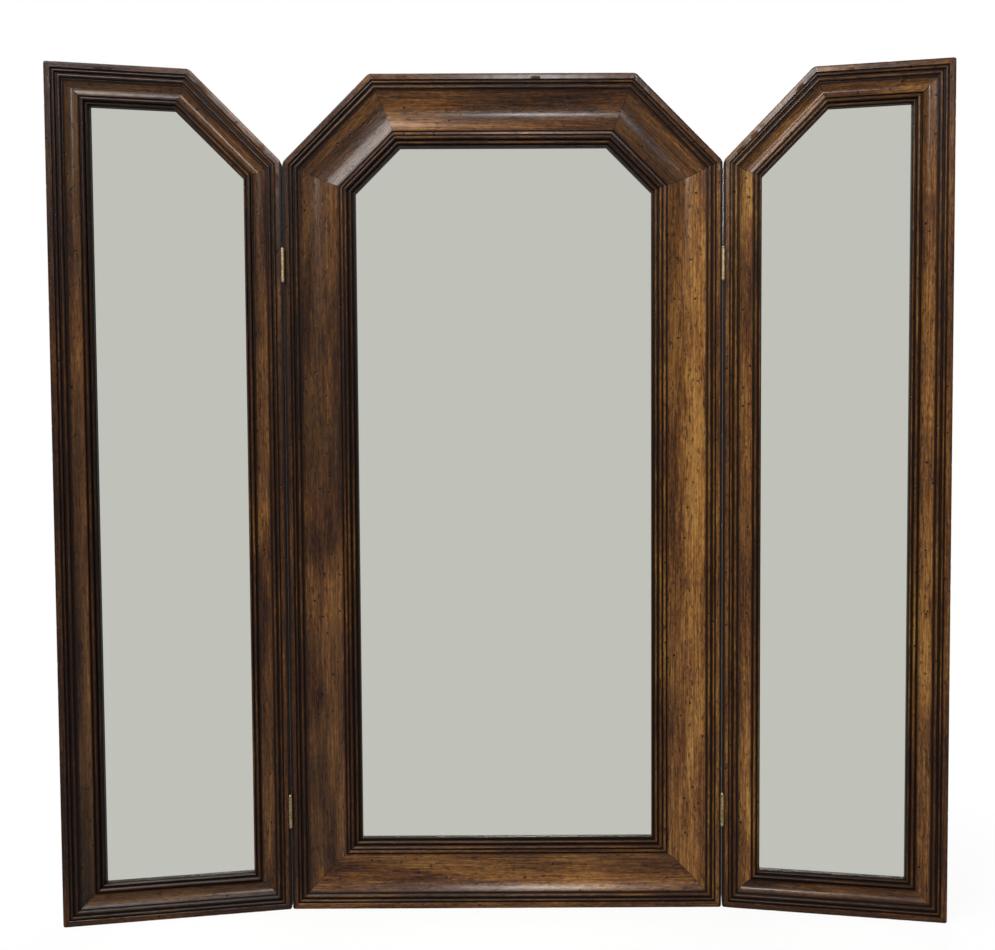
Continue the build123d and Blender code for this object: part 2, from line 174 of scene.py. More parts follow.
def moulded_face(steps):
    """Points of the moulded front as inset, depth and wear with painted shade."""
    points = []
    for i in range(EASE_POINTS + 1):
        turn = pi / 2 * i / EASE_POINTS
        wear = EASE_WEAR if 1 < i < EASE_POINTS - 1 else 0.2
        points.append((OUTER_EASE * (1 - cos(turn)), OUTER_EASE * (1 - sin(turn)), wear))
    start = 0.0
    for number, (width, first, middle, last) in enumerate(steps):
        end = start + width
        before = steps[number - 1][3] if number else first
        lip = number + 1 == len(steps)
        after = GLASS_DEPTH if lip else steps[number + 1][1]
        # Painted shade: the feet of the beads and the edges of the cove are drawn darker than their
        # crests and middle.
        if first != middle:
            count = max(8, round(width / CURVE_SPACING))
            sag = middle - (first + last) / 2
            for i in range(count + 1):
                share = i / count
                swell = 4 * share * (1 - share)
                if sag < 0:
                    wear = BEAD_WEAR_AND_SHADE[0] + (BEAD_WEAR_AND_SHADE[1] - BEAD_WEAR_AND_SHADE[0]) * swell
                else:
                    fall = (1 - min(1.0, swell * 4)) ** 2
                    wear = COVE_WEAR_AND_SHADE[1] - (COVE_WEAR_AND_SHADE[1] - COVE_WEAR_AND_SHADE[0]) * fall
                depth = first + (last - first) * share + sag * swell
                points.append((start + width * share, depth, wear))
        else:
            # Painted shade: the foot of each step, its wall and the lip by the glass are drawn
            # dark.
            if not number:
                points.append((start + width / 2, first, BAND_WEAR))
            elif before > first:
                low, high = (DIRT_AND_SHADE, DIRT_AND_SHADE) if lip else INNER_ARRIS_WEAR_AND_SHADE
                points.append((start, first + ARRIS, low))
                points.append((start + ARRIS, first, high))
            elif before < first:
                points.append((start, first, DIRT_AND_SHADE))
            if after > last:
                high, low = (DIRT_AND_SHADE, DIRT_AND_SHADE) if lip else OUTER_ARRIS_WEAR
                points.append((end - ARRIS, last, high))
                points.append((end, last + ARRIS, low))
            elif after < last:
                points.append((end, last, DIRT_AND_SHADE))
        start = end
    return points


def member_section(steps):
    """The closed section of a member: inset, depth, wear with painted shade, and 1 where it is the
    moulded face.
    """
    face_width = sum(step[0] for step in steps)
    section = [(inset, depth, wear, 1.0) for inset, depth, wear in moulded_face(steps)]
    rebate = face_width - GLASS_LAP
    ledge = rebate - BOARD_LEDGE
    # Painted shade: the wall from the lip down to the glass is drawn dark.
    hidden = [
        (face_width, GLASS_DEPTH, DIRT_AND_SHADE),
        (rebate, GLASS_DEPTH, 0.0),
        (rebate, BOARD_DEPTH, 0.0),
        (ledge, BOARD_DEPTH, 0.0),
        (ledge, FRAME_THICKNESS, 0.0),
        (ledge / 2, FRAME_THICKNESS, 0.0),
        (BACK_EASE, FRAME_THICKNESS, 0.0),
        (0.0, FRAME_THICKNESS - BACK_EASE, EDGE_WEAR),
        (0.0, LEAF_BED_REACH + BED_STEP, EDGE_WEAR),
        (0.0, LEAF_BED_REACH - BED_STEP, EDGE_WEAR),
        (0.0, 8.0, EDGE_WEAR),
        (0.0, 4.0, EDGE_WEAR),
    ]
    return section + [(inset, depth, wear, 0.0) for inset, depth, wear in hidden]


def section_object(name, steps):
    """The section as a closed loop of edges whose points carry their own place and their wear with
    painted shade.
    """
    section = member_section(steps)
    loop = bpy.data.meshes.new(name)
    count = len(section)
    points = [(x, y, 0) for x, y, _, _ in section]
    loop.from_pydata(points, [(i, (i + 1) % count) for i in range(count)], [])
    for column, attribute in enumerate(("inset", "depth", "wear", "moulded")):
        layer = loop.attributes.new(attribute, "FLOAT", "POINT")
        scale = MM if column < 2 else 1.0
        layer.data.foreach_set("value", [point[column] * scale for point in section])
    holder = bpy.data.objects.new(name, loop)
    bpy.context.scene.collection.objects.link(holder)
    return holder


def path_object(name, length, bed_centres):
    """A straight run of points along a member, with doubled points where a hinge bed ends."""
    count = max(4, round(length / RING_SPACING))
    stops = [(length * i / count, 0.0) for i in range(count + 1)]
    for close in CORNER_STOPS:
        stops += [(close, 0.0), (length - close, 0.0)]
    stops.sort()
    if bed_centres:
        clear = LEAF_BED_HALF + 0.5
        stops = [stop for stop in stops if all(abs(stop[0] - c) > clear for c in bed_centres)]
        for centre in bed_centres:
            low, high = centre - LEAF_BED_HALF, centre + LEAF_BED_HALF
            stops += [(low - BED_STEP, 0.0), (high + BED_STEP, 0.0)]
            stops += [(low + (high - low) * i / 12, 1.0) for i in range(13)]
        stops.sort()
    run = bpy.data.meshes.new(name)
    links = [(i, i + 1) for i in range(len(stops) - 1)]
    run.from_pydata([(s * MM, 0, 0) for s, _ in stops], links, [])
    station = run.attributes.new("station", "FLOAT", "POINT")
    station.data.foreach_set("value", [s / length for s, _ in stops])
    bed = run.attributes.new("bed", "FLOAT", "POINT")
    bed.data.foreach_set("value", [b for _, b in stops])
    holder = bpy.data.objects.new(name, run)
    bpy.context.scene.collection.objects.link(holder)
    return holder


member_tree = bpy.data.node_groups.new("mitred_moulding", "GeometryNodeTree")
member_inputs = {}
for label, kind in (
    ("Geometry", "NodeSocketGeometry"),
    ("Section", "NodeSocketObject"),
    ("Length", "NodeSocketFloat"),
    ("Start Mitre", "NodeSocketFloat"),
    ("End Mitre", "NodeSocketFloat"),
    ("Nick Depth", "NodeSocketFloat"),
    ("Unevenness", "NodeSocketFloat"),
    ("Corner Wear", "NodeSocketFloat"),
    ("Leaf Bed Depth", "NodeSocketFloat"),
    ("Leaf Bed Reach", "NodeSocketFloat"),
    ("Seam Dirt", "NodeSocketFloat"),
    ("Seed", "NodeSocketFloat"),
    ("Tone", "NodeSocketFloat"),
    ("Wood", "NodeSocketMaterial"),
):
    socket = member_tree.interface.new_socket(name=label, in_out="INPUT", socket_type=kind)
    member_inputs[label] = socket.identifier
member_tree.interface.new_socket(name="Geometry", in_out="OUTPUT", socket_type="NodeSocketGeometry")
given = add_node(member_tree, "NodeGroupInput").outputs
run_curve = add_node(member_tree, "GeometryNodeMeshToCurve", {"Mesh": given["Geometry"]})
section_mesh = add_node(member_tree, "GeometryNodeObjectInfo", {"Object": given["Section"]})
section_curve = add_node(
    member_tree, "GeometryNodeMeshToCurve", {"Mesh": section_mesh.outputs["Geometry"]},
)
swept = add_node(member_tree, "GeometryNodeCurveToMesh", {
    "Curve": run_curve.outputs["Curve"],
    "Profile Curve": section_curve.outputs["Curve"],
    "Fill Caps": True,
})
carried = {}
for label in ("inset", "depth", "wear", "moulded", "station", "bed"):
    reader = add_node(
        member_tree, "GeometryNodeInputNamedAttribute", {"Name": label}, data_type="FLOAT",
    )
    carried[label] = next(out for out in reader.outputs if out.enabled)
# Where each point of the sweep lies: along the member, which the mitres cut shorter towards
# its inner edge, in from the outer edge, and down from the face.
both_mitres = add_node(
    member_tree, "ShaderNodeMath", {0: given["Start Mitre"], 1: given["End Mitre"]},
    operation="ADD",
).outputs[0]
cut_away = add_node(
    member_tree, "ShaderNodeMath", {0: carried["inset"], 1: both_mitres}, operation="MULTIPLY",
).outputs[0]
span = add_node(
    member_tree, "ShaderNodeMath", {0: given["Length"], 1: cut_away}, operation="SUBTRACT",
).outputs[0]
first_cut = add_node(
    member_tree, "ShaderNodeMath", {0: carried["inset"], 1: given["Start Mitre"]},
    operation="MULTIPLY",
).outputs[0]
along = add_node(
    member_tree, "ShaderNodeMath", {0: carried["station"], 1: span, 2: first_cut},
    operation="MULTIPLY_ADD",
).outputs[0]
seeded = add_node(
    member_tree, "ShaderNodeMath", {0: along, 1: given["Seed"]}, operation="ADD",
).outputs[0]
place = add_node(
    member_tree, "ShaderNodeCombineXYZ",
    {"X": seeded, "Y": carried["inset"], "Z": carried["depth"]},
).outputs[0]
# Knocks in the proud edges and outer beads, and the slow unevenness of hand sanding.
knocks = add_node(
    member_tree, "ShaderNodeTexNoise", {"Vector": place, "Scale": KNOCKS_PER_METRE, "Detail": 2.0},
)
nicked = add_node(member_tree, "ShaderNodeMapRange", {
    "Value": knocks.outputs[0], "From Min": 0.57, "From Max": 0.74, "To Min": 0.0, "To Max": 1.0,
}).outputs[0]
proud = add_node(
    member_tree, "ShaderNodeMath", {0: carried["wear"], 1: 0.0}, operation="MAXIMUM",
).outputs[0]
proud_nick = add_node(
    member_tree, "ShaderNodeMath", {0: nicked, 1: proud}, operation="MULTIPLY",
).outputs[0]
on_edge_beads = add_node(
    member_tree, "ShaderNodeMath", {0: carried["inset"], 1: EDGE_BEADS * MM}, operation="LESS_THAN",
).outputs[0]
bead_nick = add_node(
    member_tree, "ShaderNodeMath", {0: proud_nick, 1: on_edge_beads}, operation="MULTIPLY",
).outputs[0]
nick = add_node(
    member_tree, "ShaderNodeMath", {0: bead_nick, 1: given["Nick Depth"]}, operation="MULTIPLY",
).outputs[0]
hand = add_node(
    member_tree, "ShaderNodeTexNoise", {"Vector": place, "Scale": SWELLS_PER_METRE, "Detail": 1.0},
)
hand_depth = add_node(
    member_tree, "ShaderNodeMath", {0: hand.outputs[0], 1: given["Unevenness"]},
    operation="MULTIPLY",
).outputs[0]
sunk = add_node(member_tree, "ShaderNodeMath", {0: nick, 1: hand_depth}, operation="ADD").outputs[0]
new_depth = add_node(
    member_tree, "ShaderNodeMath", {0: sunk, 1: carried["moulded"], 2: carried["depth"]},
    operation="MULTIPLY_ADD",
).outputs[0]
at_edge = add_node(
    member_tree, "ShaderNodeMath", {0: carried["inset"], 1: EDGE_REACH * MM}, operation="LESS_THAN",
).outputs[0]
edge_nick = add_node(
    member_tree, "ShaderNodeMath", {0: at_edge, 1: nick}, operation="MULTIPLY",
).outputs[0]
nicked_inset = add_node(
    member_tree, "ShaderNodeMath", {0: edge_nick, 1: carried["moulded"], 2: carried["inset"]},
    operation="MULTIPLY_ADD",
).outputs[0]
# The shallow bed that each hinge leaf is let into, in the front half of the edge.
near_front = add_node(
    member_tree, "ShaderNodeMath", {0: carried["depth"], 1: given["Leaf Bed Reach"]},
    operation="LESS_THAN",
).outputs[0]
in_bed = add_node(
    member_tree, "ShaderNodeMath", {0: near_front, 1: carried["bed"]}, operation="MULTIPLY",
).outputs[0]
bed_floor = add_node(
    member_tree, "ShaderNodeMath", {0: in_bed, 1: given["Leaf Bed Depth"]}, operation="MULTIPLY",
).outputs[0]
bedded_inset = add_node(
    member_tree, "ShaderNodeMath", {0: nicked_inset, 1: bed_floor}, operation="MAXIMUM",
).outputs[0]
# The panel's corners, worn round where two members meet.
other_end = add_node(
    member_tree, "ShaderNodeMath", {0: 1.0, 1: carried["station"]}, operation="SUBTRACT",
).outputs[0]
nearer_end = add_node(
    member_tree, "ShaderNodeMath", {0: other_end, 1: carried["station"]}, operation="MINIMUM",
).outputs[0]
to_corner = add_node(
    member_tree, "ShaderNodeMath", {0: nearer_end, 1: given["Length"]}, operation="MULTIPLY",
).outputs[0]
in_curve = add_node(
    member_tree, "ShaderNodeMath", {0: to_corner, 1: given["Corner Wear"]}, operation="MINIMUM",
).outputs[0]
in_curve_square = add_node(
    member_tree, "ShaderNodeMath", {0: in_curve, 1: in_curve}, operation="MULTIPLY",
).outputs[0]
wear_square = add_node(
    member_tree, "ShaderNodeMath", {0: given["Corner Wear"], 1: given["Corner Wear"]},
    operation="MULTIPLY",
).outputs[0]
chord_square = add_node(
    member_tree, "ShaderNodeMath", {0: wear_square, 1: 2.0}, operation="MULTIPLY",
).outputs[0]
reach_square = add_node(
    member_tree, "ShaderNodeMath", {0: chord_square, 1: in_curve_square}, operation="SUBTRACT",
).outputs[0]
reach = add_node(member_tree, "ShaderNodeMath", {0: reach_square}, operation="SQRT").outputs[0]
kept = add_node(member_tree, "ShaderNodeMath", {0: in_curve, 1: reach}, operation="ADD").outputs[0]
worn_off = add_node(
    member_tree, "ShaderNodeMath", {0: kept, 1: -0.5, 2: given["Corner Wear"]},
    operation="MULTIPLY_ADD",
).outputs[0]
new_inset = add_node(
    member_tree, "ShaderNodeMath", {0: bedded_inset, 1: worn_off}, operation="MAXIMUM",
).outputs[0]
new_cut = add_node(
    member_tree, "ShaderNodeMath", {0: new_inset, 1: both_mitres}, operation="MULTIPLY",
).outputs[0]
new_span = add_node(
    member_tree, "ShaderNodeMath", {0: given["Length"], 1: new_cut}, operation="SUBTRACT",
).outputs[0]
new_first = add_node(
    member_tree, "ShaderNodeMath", {0: new_inset, 1: given["Start Mitre"]}, operation="MULTIPLY",
).outputs[0]
new_along = add_node(
    member_tree, "ShaderNodeMath", {0: carried["station"], 1: new_span, 2: new_first},
    operation="MULTIPLY_ADD",
).outputs[0]
new_place = add_node(
    member_tree, "ShaderNodeCombineXYZ", {"X": new_along, "Y": new_inset, "Z": new_depth},
).outputs[0]
placed = add_node(
    member_tree, "GeometryNodeSetPosition",
    {"Geometry": swept.outputs["Mesh"], "Position": new_place},
).outputs["Geometry"]
# What the wood's material reads: wear with painted shade, painted shade down the hinge seams,
# grain, mitre lines, and tone with painted shade.
from_mitre = add_node(
    member_tree, "ShaderNodeMath", {0: nearer_end, 1: span}, operation="MULTIPLY",
).outputs[0]
# Painted shade: the edges along the hinge seams are drawn dark, as if in the shadow of the seam.
painted_seam_shade = add_node(
    member_tree, "ShaderNodeMath", {0: at_edge, 1: given["Seam Dirt"]}, operation="MULTIPLY",
).outputs[0]
wear_with_seam_shade = add_node(
    member_tree, "ShaderNodeMath", {0: painted_seam_shade, 1: -2.0, 2: carried["wear"]},
    operation="MULTIPLY_ADD",
).outputs[0]
for label, kind, value in (
    ("wear", "FLOAT", wear_with_seam_shade),
    ("grain", "FLOAT_VECTOR", place),
    ("mitre", "FLOAT", from_mitre),
    ("tone", "FLOAT", given["Tone"]),
):
    keeper = add_node(
        member_tree, "GeometryNodeStoreNamedAttribute", {"Geometry": placed, "Name": label},
        data_type=kind, domain="POINT",
    )
    member_tree.links.new(value, next(s for s in keeper.inputs if s.enabled and s.name == "Value"))
    placed = keeper.outputs["Geometry"]
solid = add_node(
    member_tree, "GeometryNodeRealizeInstances", {"Geometry": placed},
).outputs["Geometry"]
finished = add_node(
    member_tree, "GeometryNodeSetMaterial", {"Geometry": solid, "Material": given["Wood"]},
)
add_node(member_tree, "NodeGroupOutput", {"Geometry": finished.outputs["Geometry"]})

# Stained and lacquered hardwood: pale streaks and warm patches along the grain, pores and worm
# holes filled with dark stain, dirt and painted shade in every quirk, and edges rubbed back. The
# streaks (2.5 mm), pores (1.4 mm) and worm holes (3 to 4 mm) are drawn coarse so that they show.
wood, tree = new_material("stained_distressed_hardwood")
grain = add_node(tree, "ShaderNodeAttribute", attribute_name="grain").outputs["Vector"]
wear = add_node(tree, "ShaderNodeAttribute", attribute_name="wear").outputs["Fac"]
mitre = add_node(tree, "ShaderNodeAttribute", attribute_name="mitre").outputs["Fac"]
tone = add_node(tree, "ShaderNodeAttribute", attribute_name="tone").outputs["Fac"]
# Each pattern's repeats in a metre along the grain and across it, then how it is broken up.
patterns = {}
for name, repeats, detail, roughness, distortion in (
    ("figure", (5.0, 32.0, 32.0), 3.0, 0.5, 0.4),
    ("patch", (4.5, 11.0, 11.0), 2.0, 0.5, 0.0),
    ("streak", (15.0, 400.0, 400.0), 3.0, 0.6, 0.0),
    ("mottle", (110.0, 330.0, 330.0), 3.0, 0.7, 0.0),
    ("pore", (65.0, 700.0, 700.0), 1.0, 0.5, 0.0),
    ("fleck", (80.0, 250.0, 250.0), 3.0, 0.5, 0.0),
):
    stretched = add_node(tree, "ShaderNodeVectorMath", {0: grain, 1: repeats}, operation="MULTIPLY")
    patterns[name] = add_node(tree, "ShaderNodeTexNoise", {
        "Vector": stretched.outputs[0], "Scale": 1.0, "Detail": detail,
        "Roughness": roughness, "Distortion": distortion,
    }).outputs[0]
# Painted shade: each member's tone number also darkens the left wing and the centre's left side and
# shoulders.
shade = tone
for name, share in (("figure", 0.28), ("streak", 0.30), ("mottle", 0.26), ("patch", 0.20)):
    shade = add_node(
        tree, "ShaderNodeMath", {0: patterns[name], 1: share, 2: shade}, operation="MULTIPLY_ADD",
    ).outputs[0]
ramp = add_node(tree, "ShaderNodeValToRGB", {"Fac": shade})
stain_stops = ((0.39, "200e05"), (0.48, "45260d"), (0.55, "694119"), (0.65, "966c32"))
while len(ramp.color_ramp.elements) < len(stain_stops):
    ramp.color_ramp.elements.new(0.5)
for element, (stop, code) in zip(ramp.color_ramp.elements, stain_stops):
    element.position = stop
    element.color = linear(code)
pores = add_node(
    tree, "ShaderNodeMapRange", {"Value": patterns["pore"], "From Min": 0.58, "From Max": 0.68},
).outputs[0]
hole_cells = add_node(tree, "ShaderNodeTexVoronoi", {"Vector": grain, "Scale": 55.0})
holes = add_node(tree, "ShaderNodeMapRange", {
    "Value": hole_cells.outputs["Distance"], "From Min": 0.12, "From Max": 0.075,
}).outputs[0]
flecks = add_node(
    tree, "ShaderNodeMapRange", {"Value": patterns["fleck"], "From Min": 0.60, "From Max": 0.66},
).outputs[0]
# Dirt and painted shade: dark brown where the wear scale is low, in the quirks, at the feet of
# beads and steps, by the glass and along the hinge seams.
dirt_and_shade = add_node(
    tree, "ShaderNodeMapRange", {"Value": wear, "From Min": 0.55, "From Max": -0.6, "To Max": 0.97},
).outputs[0]
rub_noise = add_node(
    tree, "ShaderNodeMapRange", {"Value": patterns["figure"], "From Min": 0.35, "From Max": 0.65},
).outputs[0]
rubbed = add_node(
    tree, "ShaderNodeMapRange", {"Value": wear, "From Min": 0.5, "From Max": 0.8, "To Max": 0.45},
).outputs[0]
rub = add_node(tree, "ShaderNodeMath", {0: rub_noise, 1: rubbed}, operation="MULTIPLY").outputs[0]
joint = add_node(
    tree, "ShaderNodeMapRange",
    {"Value": mitre, "From Min": 0.9 * MM, "From Max": 0.2 * MM, "To Max": 0.85},
).outputs[0]
colour = ramp.outputs["Color"]
for amount, share, code in (
    (rub, 1.0, "8f6c41"), (pores, 0.55, "24150b"), (flecks, 0.65, "180c05"),
    (holes, 0.95, "120b06"), (dirt_and_shade, 1.0, "140a05"), (joint, 1.0, "140c07"),
):
    strength = add_node(
        tree, "ShaderNodeMath", {0: amount, 1: share}, operation="MULTIPLY",
    ).outputs[0]
    colour = add_node(
        tree, "ShaderNodeMix", {0: strength, 6: colour, 7: linear(code)}, data_type="RGBA",
    ).outputs[2]
streak_gloss = add_node(
    tree, "ShaderNodeMapRange", {"Value": patterns["streak"], "To Min": 0.20, "To Max": 0.34},
).outputs[0]
lacquered = add_node(
    tree, "ShaderNodeMath", {0: dirt_and_shade, 1: -0.2, 2: 0.2}, operation="MULTIPLY_ADD",
).outputs[0]
gloss = add_node(
    tree, "ShaderNodeMath", {0: dirt_and_shade, 1: 0.14, 2: streak_gloss}, operation="MULTIPLY_ADD",
).outputs[0]
relief = add_node(
    tree, "ShaderNodeMath", {0: patterns["streak"], 1: patterns["mottle"]}, operation="ADD",
).outputs[0]
for amount, share in ((pores, -0.5), (flecks, -1.2), (holes, -3.0)):
    relief = add_node(
        tree, "ShaderNodeMath", {0: amount, 1: share, 2: relief}, operation="MULTIPLY_ADD",
    ).outputs[0]
bump = add_node(tree, "ShaderNodeBump", {"Height": relief, "Strength": 0.6, "Distance": 0.4 * MM})
surface = add_node(tree, "ShaderNodeBsdfPrincipled", {
    "Base Color": colour, "Roughness": gloss, "Normal": bump.outputs[0], "Specular IOR Level": 0.12,
    "Coat Weight": lacquered, "Coat Roughness": 0.2,
})
add_node(tree, "ShaderNodeOutputMaterial", {"Surface": surface.outputs[0]})

# Each panel is drawn as an outline, anticlockwise from its lower left corner, and a member runs
# along each side of it. The number with a member says how light or dark its wood is drawn: partly
# the wood's own tone, partly painted shade that darkens the left wing, the centre's left side and
# its shoulders.
half = CENTRE_WIDTH / 2
near = LEAVES_GAP / 2
far = near + WING_WIDTH
high = PANEL_HEIGHT - SHOULDER
turn = radians(REST_ANGLE)
centre_outline = [
    (-half, 0), (half, 0), (half, high), (half - SHOULDER, PANEL_HEIGHT),
    (SHOULDER - half, PANEL_HEIGHT), (-half, high),
]
centre_members = [
    ("bottom_rail", -0.01), ("right_stile", 0.02), ("right_shoulder", -0.07),
    ("top_rail", -0.02), ("left_shoulder", -0.05), ("left_stile", -0.075),
]
left_outline = [
    (-far, 0), (-near, 0), (-near, high), (-near - SHOULDER, PANEL_HEIGHT), (-far, PANEL_HEIGHT),
]
left_members = [
    ("bottom_rail", -0.085), ("hinge_stile", -0.055), ("shoulder", -0.04),
    ("top_rail", -0.10), ("outer_stile", -0.11),
]
right_outline = [
    (near, 0), (far, 0), (far, PANEL_HEIGHT), (near + SHOULDER, PANEL_HEIGHT), (near, high),
]
right_members = [
    ("bottom_rail", -0.055), ("outer_stile", -0.02), ("top_rail", 0.0),
    ("shoulder", -0.01), ("hinge_stile", 0.0),
]
front_middle = Vector((0, -FRAME_THICKNESS / 2, 0))
panels = {"centre_panel": (
    "centre", CENTRE_STEPS, front_middle, Vector((1, 0, 0)), Vector((0, -1, 0)),
    centre_outline, centre_members,
)}
for body, side, outline, members in (
    ("left_wing", -1, left_outline, left_members),
    ("right_wing", 1, right_outline, right_members),
):
    facing = Vector((-side * sin(turn), -cos(turn), 0))
    across = Vector((cos(turn), -side * sin(turn), 0))
    axis_foot = front_middle + Vector((side * (half + near), -AXIS_FORWARD, 0))
    wing_corner = axis_foot - facing * AXIS_FORWARD
    panels[body] = (body, WING_STEPS, wing_corner, across, facing, outline, members)

SEED_STEP = 3.7
SHARP_ANGLE = 34.0
seed = 0
for body, (prefix, steps, origin, across, facing, outline, members) in panels.items():
    section_holder = section_object(prefix + "_section", steps)
    corners = [Vector(corner) for corner in outline]
    count = len(corners)
    for index, (member, member_tone_and_shade) in enumerate(members):
        before, start, end, after = (corners[(index + k) % count] for k in (-1, 0, 1, 2))
        direction = (end - start).normalized()
        length = (end - start).length
        mitres = []
        for a, b in ((start - before, direction), (direction, after - end)):
            bend = a.angle(b)
            mitres.append(1 / tan((pi - bend) / 2))
        bed_centres = []
        if member in ("right_stile", "hinge_stile", "left_stile"):
            rising = direction.y > 0
            bed_centres = [c if rising else length - c for c in HINGE_CENTRES]
        run_holder = path_object(f"{prefix}_{member}_run", length, bed_centres)
        seed += 1
        sweep = run_holder.modifiers.new("moulding", "NODES")
        sweep.node_group = member_tree
        for label, value in (
            ("Section", section_holder),
            ("Length", length * MM),
            ("Start Mitre", mitres[0]),
            ("End Mitre", mitres[1]),
            ("Nick Depth", NICK_DEPTH * MM),
            ("Unevenness", UNEVENNESS * MM),
            ("Corner Wear", CORNER_WEAR * MM),
            ("Leaf Bed Depth", LEAF_BED_DEPTH * MM),
            ("Leaf Bed Reach", LEAF_BED_REACH * MM),
            ("Seam Dirt", 1.0 if bed_centres else 0.0),
            ("Seed", SEED_STEP * seed),
            ("Tone", member_tone_and_shade),
            ("Wood", wood),
        ):
            sweep[member_inputs[label]] = value
        graph = bpy.context.evaluated_depsgraph_get()
        mesh = bpy.data.meshes.new_from_object(
            run_holder.evaluated_get(graph), preserve_all_data_layers=True, depsgraph=graph,
        )
        run_direction = across * direction.x + Vector((0, 0, direction.y))
        inward = across * -direction.y + Vector((0, 0, direction.x))
        corner = origin + across * start.x + Vector((0, 0, start.y))
        seat = Matrix((run_direction, inward, -facing)).transposed().to_4x4()
        mesh.transform(Matrix.Translation(corner * MM) @ seat)
        shell = bmesh.new()
        shell.from_mesh(mesh)
        bmesh.ops.recalc_face_normals(shell, faces=shell.faces)
        shell.to_mesh(mesh)
        shell.free()
        mesh.shade_smooth()
        mesh.set_sharp_from_angle(angle=radians(SHARP_ANGLE))
        piece = bpy.data.objects.new(f"{prefix}_{member}_moulding", mesh)
        bpy.context.scene.collection.objects.link(piece)
        bpy.data.objects.remove(run_holder)
        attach(piece, body)
        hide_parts(f"{prefix}_{member}")
    bpy.data.objects.remove(section_holder)


# Mirrors: 4 mm float glass silvered on the back, cut to the panels and held behind the lips.
# The silver gives an even, slightly green-grey reflection with hardly any cloudiness.
silvered, tree = new_material("silvered_float_glass")
at = add_node(tree, "ShaderNodeTexCoord").outputs["Object"]
cloud = add_node(tree, "ShaderNodeTexNoise", {"Vector": at, "Scale": 5.0, "Detail": 2.0}).outputs[0]
silver = add_node(
    tree, "ShaderNodeMix", {0: cloud, 6: linear("f8f9ee"), 7: linear("f9faef")}, data_type="RGBA",
).outputs[2]
haze = add_node(
    tree, "ShaderNodeMapRange", {"Value": cloud, "To Min": 0.0, "To Max": 0.02},
).outputs[0]
surface = add_node(
    tree, "ShaderNodeBsdfPrincipled", {"Base Color": silver, "Metallic": 1.0, "Roughness": haze},
)
add_node(tree, "ShaderNodeOutputMaterial", {"Surface": surface.outputs[0]})
for prefix in ("centre", "left_wing", "right_wing"):
    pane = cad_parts[prefix + "_mirror_glass"]
    pane.data.materials.clear()
    pane.data.materials.append(silvered)


# Backing boards: 3 mm hardboard, pressed from wood fibre, smooth and brown with fine specks,
# screwed into the rebates behind the glass. The fibre specks are 1.5 mm, coarse to show.
hardboard, tree = new_material("tempered_hardboard")
at = add_node(tree, "ShaderNodeTexCoord").outputs["Object"]
fibre = add_node(
    tree, "ShaderNodeTexNoise", {"Vector": at, "Scale": 650.0, "Detail": 3.0, "Roughness": 0.7},
).outputs[0]
blotch = add_node(
    tree, "ShaderNodeTexNoise", {"Vector": at, "Scale": 6.0, "Detail": 3.0},
).outputs[0]
mottle = add_node(tree, "ShaderNodeMath", {0: fibre, 1: blotch}, operation="MULTIPLY").outputs[0]
mottle_range = add_node(
    tree, "ShaderNodeMapRange", {"Value": mottle, "From Min": 0.0, "From Max": 0.5},
).outputs[0]
brown = add_node(
    tree, "ShaderNodeMix", {0: mottle_range, 6: linear("654a30"), 7: linear("80623f")},
    data_type="RGBA",
).outputs[2]
bump = add_node(tree, "ShaderNodeBump", {"Height": fibre, "Strength": 0.3, "Distance": 0.2 * MM})
surface = add_node(
    tree, "ShaderNodeBsdfPrincipled",
    {"Base Color": brown, "Roughness": 0.62, "Normal": bump.outputs[0]},
)
add_node(tree, "ShaderNodeOutputMaterial", {"Surface": surface.outputs[0]})
for prefix in ("centre", "left_wing", "right_wing"):
    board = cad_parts[prefix + "_backing_board"]
    board.data.materials.clear()
    board.data.materials.append(hardboard)


# Mitre tongues: strips of raw beech glued into slots across the mitres, seen only when the
# frame is taken apart. Beech is pale and pink-brown with short dark flecks.
beech, tree = new_material("raw_beech")
at = add_node(tree, "ShaderNodeTexCoord").outputs["Object"]
fleck_place = add_node(
    tree, "ShaderNodeVectorMath", {0: at, 1: (400.0, 400.0, 90.0)}, operation="MULTIPLY",
).outputs[0]
ray = add_node(
    tree, "ShaderNodeTexNoise", {"Vector": fleck_place, "Scale": 1.0, "Detail": 2.0},
).outputs[0]
ray_range = add_node(
    tree, "ShaderNodeMapRange", {"Value": ray, "From Min": 0.4, "From Max": 0.65},
).outputs[0]
pale = add_node(
    tree, "ShaderNodeMix", {0: ray_range, 6: linear("d9b48c"), 7: linear("b88a62")},
    data_type="RGBA",
).outputs[2]
surface = add_node(tree, "ShaderNodeBsdfPrincipled", {"Base Color": pale, "Roughness": 0.6})
add_node(tree, "ShaderNodeOutputMaterial", {"Surface": surface.outputs[0]})
for prefix in ("centre", "left_wing", "right_wing"):
    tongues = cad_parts[prefix + "_mitre_tongues"]
    tongues.data.materials.clear()
    tongues.data.materials.append(beech)


